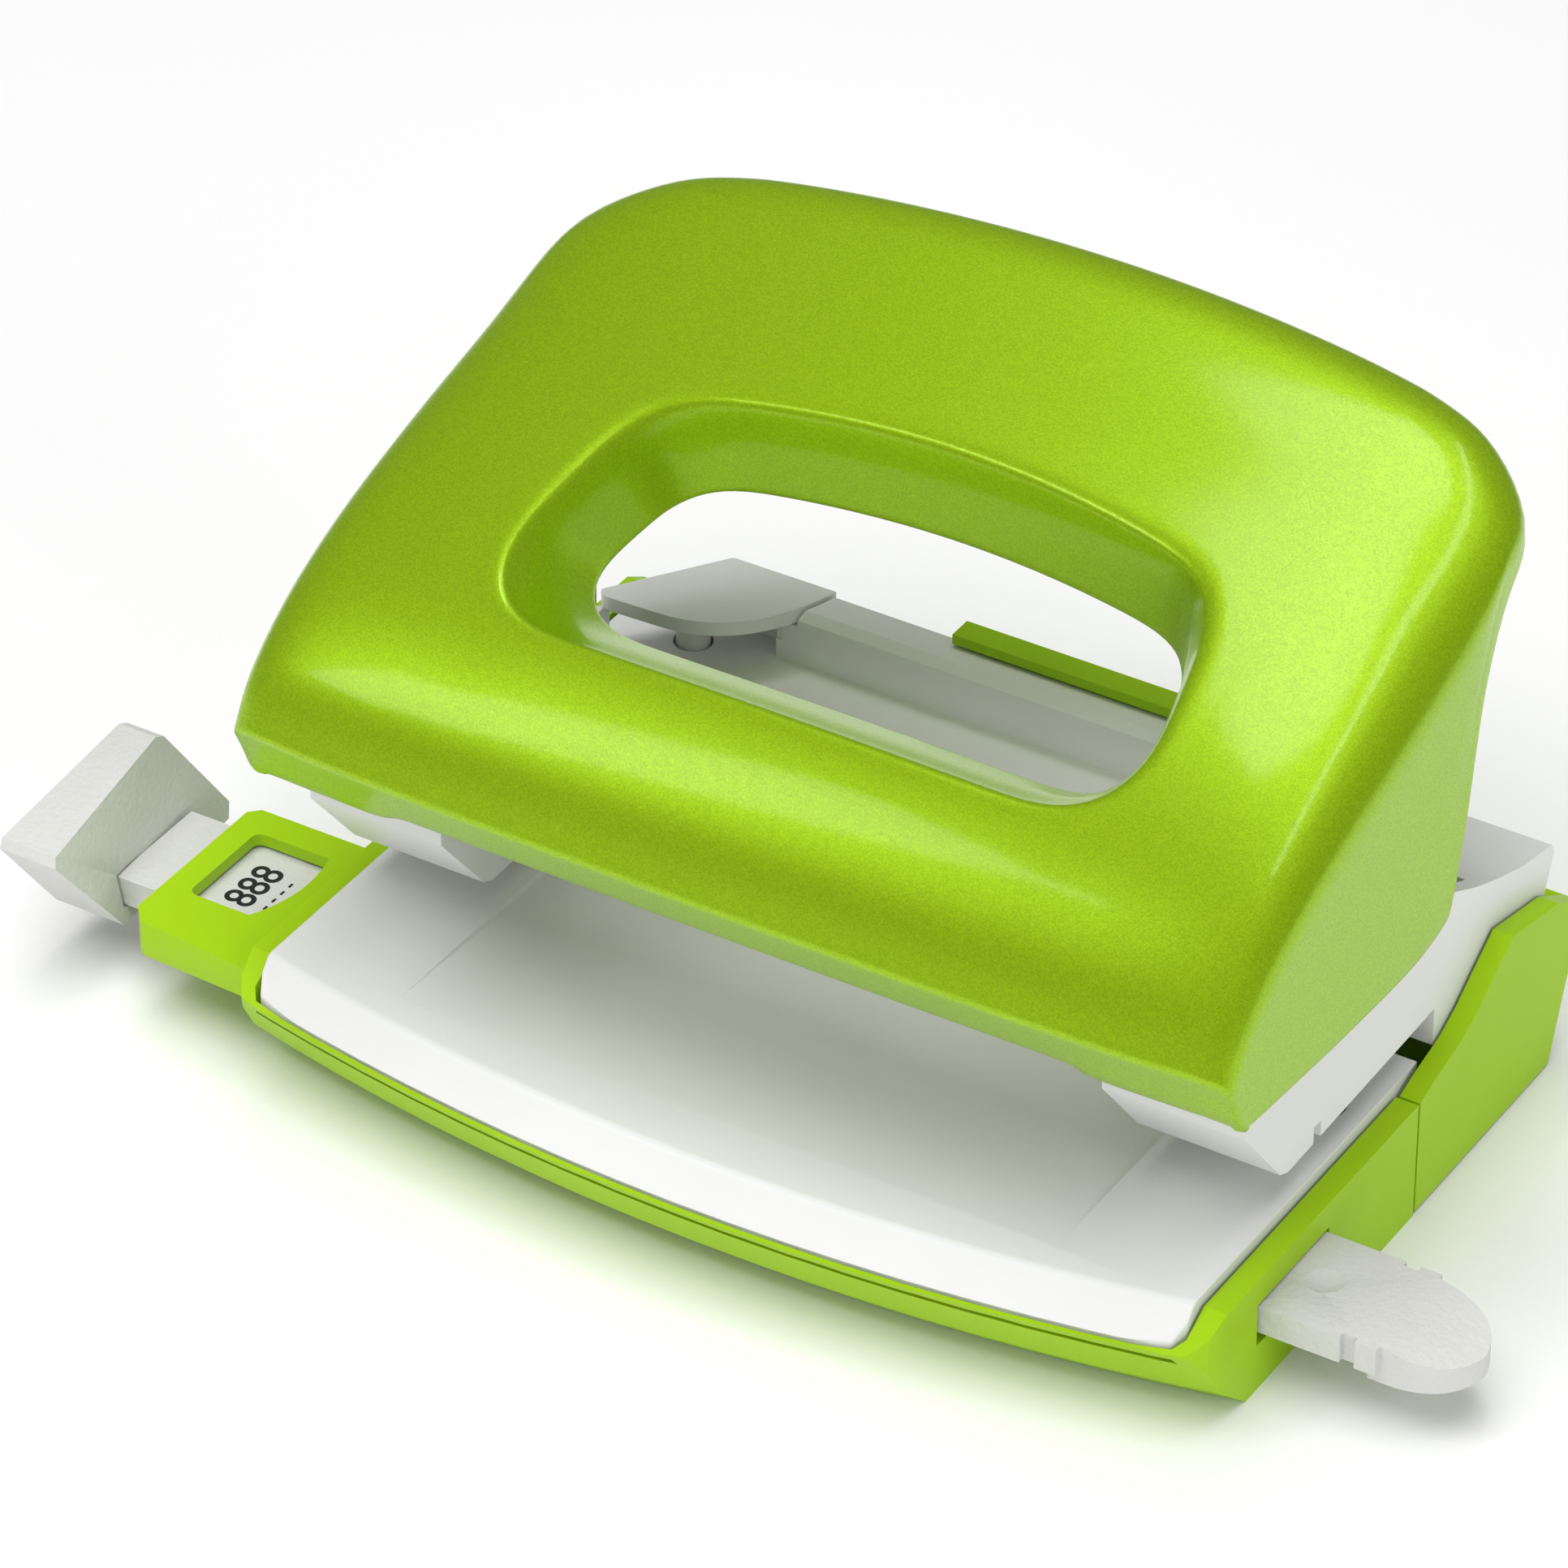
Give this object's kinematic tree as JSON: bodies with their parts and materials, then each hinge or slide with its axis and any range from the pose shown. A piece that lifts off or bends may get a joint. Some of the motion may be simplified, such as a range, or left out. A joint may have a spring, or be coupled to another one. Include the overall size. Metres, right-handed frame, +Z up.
{
  "type": "hole punch",
  "caption": "Desk punch for ring-binder holes: lever handle with a finger window, bowed paper table, sliding paper guide and pull-out chip tray.",
  "frame": {"origin": "on the flat underside of the base, on the plane midway between the two holes, 8 mm behind the line of the holes", "axes": "+X along the row of holes towards the finger end of the guide bar, +Y away from the paper mouth, +Z up"},
  "size_m": [0.1415, 0.0734, 0.0669],
  "materials": {
    "green_lacquer": "metallic gloss lacquer",
    "green_plastic": "satin",
    "white_plastic": "satin",
    "grey_plastic": "fine grain",
    "steel": "satin"
  },
  "bodies": {
    "base": {"base_shell": "green_plastic", "paper_table": "white_plastic", "die_plate": "steel", "die_ring_left": "steel", "die_ring_right": "steel", "punch_body": "white_plastic", "guide_bush_left": "steel", "guide_bush_right": "steel", "axle_pin_left": "steel", "axle_pin_right": "steel", "return_spring_left": "steel", "return_spring_right": "steel", "body_screw_left": "steel", "body_screw_right": "steel", "plate_screw_left": "steel", "plate_screw_right": "steel"},
    "lever": {"handle": "green_lacquer"},
    "pin_left": {"punch_pin_left": "steel", "pin_clip_left": "steel"},
    "pin_right": {"punch_pin_right": "steel", "pin_clip_right": "steel"},
    "guide": {"guide_bar": "grey_plastic", "paper_stop": "grey_plastic"},
    "latch": {"lock_latch": "white_plastic"},
    "tray": {"chip_tray": "green_plastic"}
  },
  "joints": [
    {"name": "handle_hinge", "type": "hinge", "parent": "base", "child": "lever", "pos_m": [0, 0.007, 0.024], "axis": [1, 0, 0], "range_deg": [0, 18.8], "stiffness_Nm_per_rad": 0.25, "springref_deg": -22.92},
    {"name": "pin_left_slide", "type": "slide", "parent": "base", "child": "pin_left", "axis": [0, 0, -1], "range_m": [0, 0.0052], "deforming": ["return_spring_left"]},
    {"name": "pin_right_slide", "type": "slide", "parent": "base", "child": "pin_right", "axis": [0, 0, -1], "range_m": [0, 0.0052], "deforming": ["return_spring_right"]},
    {"name": "guide_slide", "type": "slide", "parent": "base", "child": "guide", "axis": [1, 0, 0], "range_m": [-0.08, 0.003]},
    {"name": "latch_swivel", "type": "hinge", "parent": "base", "child": "latch", "pos_m": [-0.0385, 0.02, 0.021], "axis": [0, 0, 1], "range_deg": [0, 40]},
    {"name": "tray_slide", "type": "slide", "parent": "base", "child": "tray", "axis": [0, 1, 0], "range_m": [0, 0.035]}
  ],
  "couplings": [
    {"joint": "pin_left_slide", "follows": "handle_hinge", "m_per_rad": 0.0155},
    {"joint": "pin_right_slide", "follows": "handle_hinge", "m_per_rad": 0.0155}
  ]
}
